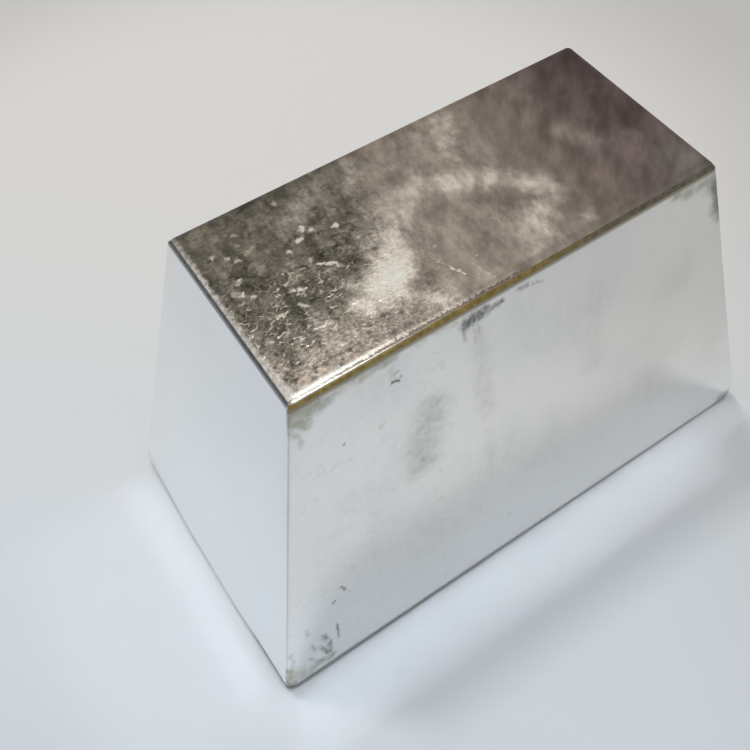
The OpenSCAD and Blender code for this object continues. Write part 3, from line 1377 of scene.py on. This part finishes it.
    def dress(self) -> None:
        """Gives each zone of the casting its finish."""
        for skin in Skin:
            self.piece.data.materials.append(self.finishes[skin].make())
        zones: dict[Skin, Callable[[bmesh.types.BMFace], bool]] = {
            Skin.CROWN: lambda face: face.calc_center_median().z > self.chamfer_top,
            Skin.GOLD: lambda face: self.on_chamfer(face) and abs(face.normal.y) > abs(face.normal.x),
            Skin.DARK: lambda face: self.on_chamfer(face) and abs(face.normal.y) <= abs(face.normal.x),
            Skin.FOOT: lambda face: face.calc_center_median().z < self.foot_skin_share * self.foot_radius,
        }
        for skin, wanted in zones.items():
            self.choose(Pick.FACES, wanted)
            self.piece.active_material_index = skin.value
            bpy.ops.object.material_slot_assign()

    def on_chamfer(self, face: bmesh.types.BMFace) -> bool:
        """Tells whether a face lies on the chamfer."""
        return self.side_top < face.calc_center_median().z <= self.chamfer_top

    def weather(self) -> None:
        """Raises the wrinkles of the crown and the slow waves of the sides, as real relief."""
        bpy.ops.object.mode_set(mode="OBJECT")
        group = bpy.data.node_groups.new("casting_relief", "GeometryNodeTree")
        for way in ("INPUT", "OUTPUT"):
            group.interface.new_socket("Geometry", in_out=way, socket_type="NodeSocketGeometry")
        sheet = NodeSheet(group)
        source = sheet.add("NodeGroupInput")
        result = sheet.add("NodeGroupOutput")
        place = sheet.scaled(sheet.add("GeometryNodeInputPosition").outputs[0], PER_M)
        normal = sheet.add("GeometryNodeInputNormal").outputs[0]
        relief = Relief(tuple(half * PER_M for half in self.crown_half), self.height * PER_M)
        raised = sheet.scaled(normal, relief.height(sheet, place))
        offset = sheet.vector("ADD", raised, self.rounding(sheet, place))
        move = sheet.add("GeometryNodeSetPosition")
        sheet.fill(move, {"Geometry": source.outputs[0], "Offset": sheet.scaled(offset, MM)})
        sheet.feed(result.inputs[0], move.outputs[0])
        modifier = self.piece.modifiers.new("casting_relief", "NODES")
        modifier.node_group = group
        bpy.ops.object.modifier_apply(modifier=modifier.name)
        bpy.ops.object.shade_smooth_by_angle(angle=self.smooth_angle)

    def rounding(self, sheet: NodeSheet, place: Socket) -> Socket:
        """Draws how far each point moves in plan to round the corners of the pour face.

        Args:
            sheet: The geometry tree's node sheet.
            place: Points on the casting, in millimetres.

        Returns:
            The move, in millimetres.
        """
        radius = self.foot_corner_radius * PER_M
        past: list[Socket] = []
        sides: list[Socket] = []
        for part, half in zip(sheet.split(place), self.foot_half):
            beyond = sheet.math("SUBTRACT", sheet.math("ABSOLUTE", part), half * PER_M - radius)
            past.append(sheet.math("MAXIMUM", beyond, 0.0))
            sides.append(sheet.math("SIGN", part))
        spoke = sheet.merge(*past)
        share = sheet.math("DIVIDE", radius, sheet.most(sheet.vector("LENGTH", spoke), radius))
        move = sheet.scaled(spoke, sheet.math("SUBTRACT", share, 1.0))
        return sheet.vector("MULTIPLY", move, sheet.merge(*sides))

    def build(self) -> bpy.types.Object:
        """Models and dresses the casting and puts it on its body.

        Returns:
            The finished piece.
        """
        self.cast_block()
        self.round_foot()
        self.cut_strips(0)
        self.cut_strips(1)
        self.cut_rows()
        self.soften_edges()
        self.dress()
        self.weather()
        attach(self.piece, self.body)
        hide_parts(self.node)
        return self.piece


@dataclass(frozen=True)
class Lamp:
    """A square soft lamp that looks at the casting.

    towards is the direction from the casting to the lamp, reach its distance and side its width in metres.
    power is in watts. A lamp that isn't mirrored lights the floor without showing in the metal.
    """

    name: str
    towards: Triple
    reach: float
    side: float
    power: float
    colour: Colour
    mirrored: bool = True

    def hang(self) -> None:
        """Adds the lamp to the scene."""
        data = bpy.data.lights.new(self.name, "AREA")
        data.shape = "SQUARE"
        data.size = self.side
        data.energy = self.power
        data.color = self.colour
        lamp = bpy.data.objects.new(self.name, data)
        direction = Vector(self.towards).normalized()
        lamp.location = direction * self.reach
        lamp.rotation_euler = direction.to_track_quat("Z", "Y").to_euler()
        lamp.visible_glossy = self.mirrored
        lamp.visible_camera = False
        bpy.context.scene.collection.objects.link(lamp)


@dataclass(frozen=True)
class Glow:
    """Light that a bright side throws down on the floor before it, as a narrow beam from above.

    middle and size give the lit patch of floor and height the beam's start, in metres. power is in watts and
    spread in radians.
    """

    name: str
    middle: Pair
    size: Pair
    power: float
    colour: Colour = (0.86, 0.965, 1.0)
    height: float = 0.2
    spread: float = math.radians(2.0)

    def hang(self) -> None:
        """Adds the beam to the scene, unseen in the metal."""
        data = bpy.data.lights.new(self.name, "AREA")
        data.shape = "RECTANGLE"
        data.size, data.size_y = self.size
        data.spread = self.spread
        data.energy = self.power
        data.color = self.colour
        lamp = bpy.data.objects.new(self.name, data)
        lamp.location = (*self.middle, self.height)
        lamp.visible_glossy = False
        lamp.visible_camera = False
        bpy.context.scene.collection.objects.link(lamp)


@dataclass
class Studio:
    """A pale floor under soft ceiling lamps, in a room that is cool and bright in front and warm behind.

    The two skies are the room's colours by the rise of the line of sight, level at 0 and straight up at 1.
    floor_gap is how far the floor lies under the casting.
    """

    floor_half: float = 3.0
    floor_gap: float = 0.01 * MM
    floor_cool: Colour = (0.535, 0.575, 0.615)
    floor_warm: Colour = (0.57, 0.56, 0.545)
    floor_roughness: float = 0.6
    floor_gloss: float = 0.2
    glows: tuple[Glow, ...] = (
        Glow("front_glow", (-0.006, -0.0272), (0.076, 0.0072), 0.00052),
        Glow("front_rim", (0.0, -0.0246), (0.084, 0.0032), 0.00017, height=0.12),
        Glow("left_glow", (-0.0545, -0.003), (0.024, 0.044), 0.00030, spread=math.radians(4.0)),
        Glow("left_rim", (-0.0458, -0.001), (0.004, 0.041), 0.00012, height=0.12),
    )
    lamps: tuple[Lamp, ...] = (
        Lamp("key_lamp", (-0.077, 0.361, 0.929), 0.581, 0.06, 1.14, (1.0, 0.98, 0.95), False),
        Lamp("top_lamp", (0.19, 0.20, 0.96), 0.6, 0.15, 0.09, (1.0, 0.98, 0.95)),
        Lamp("over_lamp", (0.04, -0.08, 0.996), 0.6, 0.14, 1.0, (0.95, 0.98, 1.0)),
    )
    back: Sky = (
        (0.0, (0.56, 0.54, 0.52)),
        (0.3, (0.46, 0.44, 0.42)),
        (0.6, (0.46, 0.44, 0.42)),
        (0.75, (0.58, 0.56, 0.54)),
        (0.85, (0.71, 0.69, 0.66)),
        (1.0, (0.64, 0.63, 0.62)),
    )
    front: Sky = (
        (0.0, (0.80, 0.86, 0.92)),
        (0.25, (0.80, 0.86, 0.92)),
        (0.45, (0.50, 0.53, 0.56)),
        (0.75, (0.48, 0.49, 0.51)),
        (1.0, (0.64, 0.63, 0.62)),
    )

    def lay_floor(self) -> None:
        """Lays the floor just under the casting."""
        bpy.ops.object.select_all(action="DESELECT")
        bpy.ops.mesh.primitive_plane_add(size=2.0 * self.floor_half, location=(0.0, 0.0, -self.floor_gap))
        floor = bpy.context.object
        floor.name = "floor"
        material = bpy.data.materials.new("pale_floor")
        material.use_nodes = True
        shader = material.node_tree.nodes["Principled BSDF"]
        shader.inputs["Roughness"].default_value = self.floor_roughness
        shader.inputs["Specular IOR Level"].default_value = self.floor_gloss
        sheet = NodeSheet(material.node_tree)
        sheet.feed(shader.inputs["Base Color"], self.floor_colour(sheet))
        floor.data.materials.append(material)

    def floor_colour(self, sheet: NodeSheet) -> Socket:
        """Draws the floor with painted light: cool in front and warm behind, a painted shade dimmer at the
        right and away, and painted light lifting the front.

        Args:
            sheet: The floor material's node sheet.

        Returns:
            The colour.
        """
        place = sheet.add("ShaderNodeTexCoord").outputs["Object"]
        x, y, _ = sheet.split(place)
        # Painted light colour: cool in front, warm behind.
        warmth = sheet.ramp(sheet.math("MULTIPLY_ADD", x, 0.8, y), -0.07, 0.09)
        colour = sheet.tint(warmth, self.floor_cool, self.floor_warm)
        # Painted shade: dimmer at the right, and further away.
        dimmed = sheet.times(sheet.ramp(x, 0.0, 0.06, 0.0, 0.045), sheet.ramp(y, 0.035, -0.005))
        colour = sheet.scaled(colour, sheet.math("SUBTRACT", 1.0, dimmed))
        away = sheet.vector("DISTANCE", place, (-0.01, 0.045, 0.0))
        colour = sheet.scaled(colour, sheet.ramp(away, 0.07, 0.125, 1.0, 0.77))
        # Painted light: lighter at the front.
        lift = sheet.times(sheet.ramp(y, -0.037, -0.066, 0.0, 0.16), sheet.ramp(x, 0.06, -0.005, 0.2))
        return sheet.scaled(colour, sheet.math("ADD", lift, 1.0))

    @staticmethod
    def sky(sheet: NodeSheet, rise: Socket, stops: Sky) -> Socket:
        """Draws one of the two skies.

        Args:
            sheet: The world's node sheet.
            rise: The rise of the line of sight.
            stops: The sky's colours by the rise.

        Returns:
            The colour.
        """
        ramp = sheet.add("ShaderNodeValToRGB")
        elements = ramp.color_ramp.elements
        while len(elements) < len(stops):
            elements.new(0.5)
        for element, (place, colour) in zip(elements, stops):
            element.position = place
            element.color = (*colour, 1.0)
        sheet.feed(ramp.inputs[0], rise)
        return ramp.outputs[0]

    def light(self) -> None:
        """Hangs the lamps and paints the room round the scene."""
        for lamp in (*self.lamps, *self.glows):
            lamp.hang()
        world = bpy.data.worlds.new("room")
        world.use_nodes = True
        bpy.context.scene.world = world
        sheet = NodeSheet(world.node_tree)
        background = world.node_tree.nodes["Background"]
        x, y, rise = sheet.split(sheet.add("ShaderNodeTexCoord").outputs["Generated"])
        toward_back = sheet.math("MULTIPLY_ADD", x, 0.6, sheet.times(y, 0.8))
        back, front = (self.sky(sheet, rise, stops) for stops in (self.back, self.front))
        sheet.feed(background.inputs["Color"], sheet.tint(sheet.ramp(toward_back, -0.4, 0.4), front, back))


@dataclass(frozen=True)
class PhotoCamera:
    """The camera at the photograph's viewpoint: close to the bar, looking down over its near corner.

    place is in metres, the angles are in degrees and lens is in millimetres.
    """

    place: Triple = (-0.04518, -0.06186, 0.13191)
    azimuth: float = -33.37
    elevation: float = 56.211
    roll: float = -1.567
    lens: float = 44.881
    shift: Pair = (-0.0613, -0.0088)
    clip_start: float = 0.005

    def set_up(self) -> None:
        """Adds the camera and makes it the scene's own."""
        data = bpy.data.cameras.new("photo_camera")
        data.lens = self.lens
        data.shift_x, data.shift_y = self.shift
        data.clip_start = self.clip_start
        camera = bpy.data.objects.new("photo_camera", data)
        turn, tilt, roll = (math.radians(angle) for angle in (self.azimuth, self.elevation, self.roll))
        back = Vector((math.sin(turn) * math.cos(tilt), -math.cos(turn) * math.cos(tilt), math.sin(tilt)))
        level = Vector((math.cos(turn), math.sin(turn), 0.0))
        rise = back.cross(level)
        right = math.cos(roll) * level + math.sin(roll) * rise
        up = math.cos(roll) * rise - math.sin(roll) * level
        camera.matrix_world = Matrix.Translation(self.place) @ Matrix((right, up, back)).transposed().to_4x4()
        bpy.context.scene.collection.objects.link(camera)
        bpy.context.scene.camera = camera


def choose_finishes(ingot: Ingot) -> dict[Skin, Finish]:
    """Makes the five finishes to the casting's measure.

    Args:
        ingot: The casting.

    Returns:
        The finish of each zone.
    """
    slopes = (math.tan(ingot.end_draft), math.tan(ingot.side_draft))
    foot, rim = ((half[0] * PER_M, half[1] * PER_M) for half in (ingot.foot_half, ingot.shoulder_half))
    # The gold on the long sides is a painted warm reflection, with a painted highlight along its upper edge.
    gold = TarnishAndReflection(
        name="gold_reflection",
        left=(0.27, 0.19, 0.06),
        right=(0.152, 0.127, 0.09),
        edge_highlight=(0.7, 0.65, 0.55),
        worn_from=52.2,
        worn_to=52.32,
    )
    dark = TarnishAndReflection(
        name="dark_tarnish",
        left=(0.16, 0.165, 0.17),
        right=(0.14, 0.13, 0.12),
        edge_highlight=(0.6, 0.6, 0.6),
        worn_from=52.16,
        worn_to=52.04,
    )
    return {
        Skin.SIDE: BrightSide(foot, slopes),
        Skin.CROWN: CrownSkin(rim),
        Skin.GOLD: gold,
        Skin.DARK: dark,
        Skin.FOOT: FootSkin(),
    }


def main() -> None:
    """Builds the casting, then the floor, the light and the camera."""
    logging.basicConfig(level=logging.INFO, format="%(name)s: %(message)s")
    ingot = Ingot()
    ingot.finishes = choose_finishes(ingot)
    PhotoCamera().set_up()
    casting = ingot.build()
    LOG.info("%s: %d faces", casting.name, len(casting.data.polygons))
    studio = Studio()
    studio.lay_floor()
    studio.light()
    bpy.context.scene.view_settings.view_transform = "Standard"


if __name__ == "__main__":
    main()
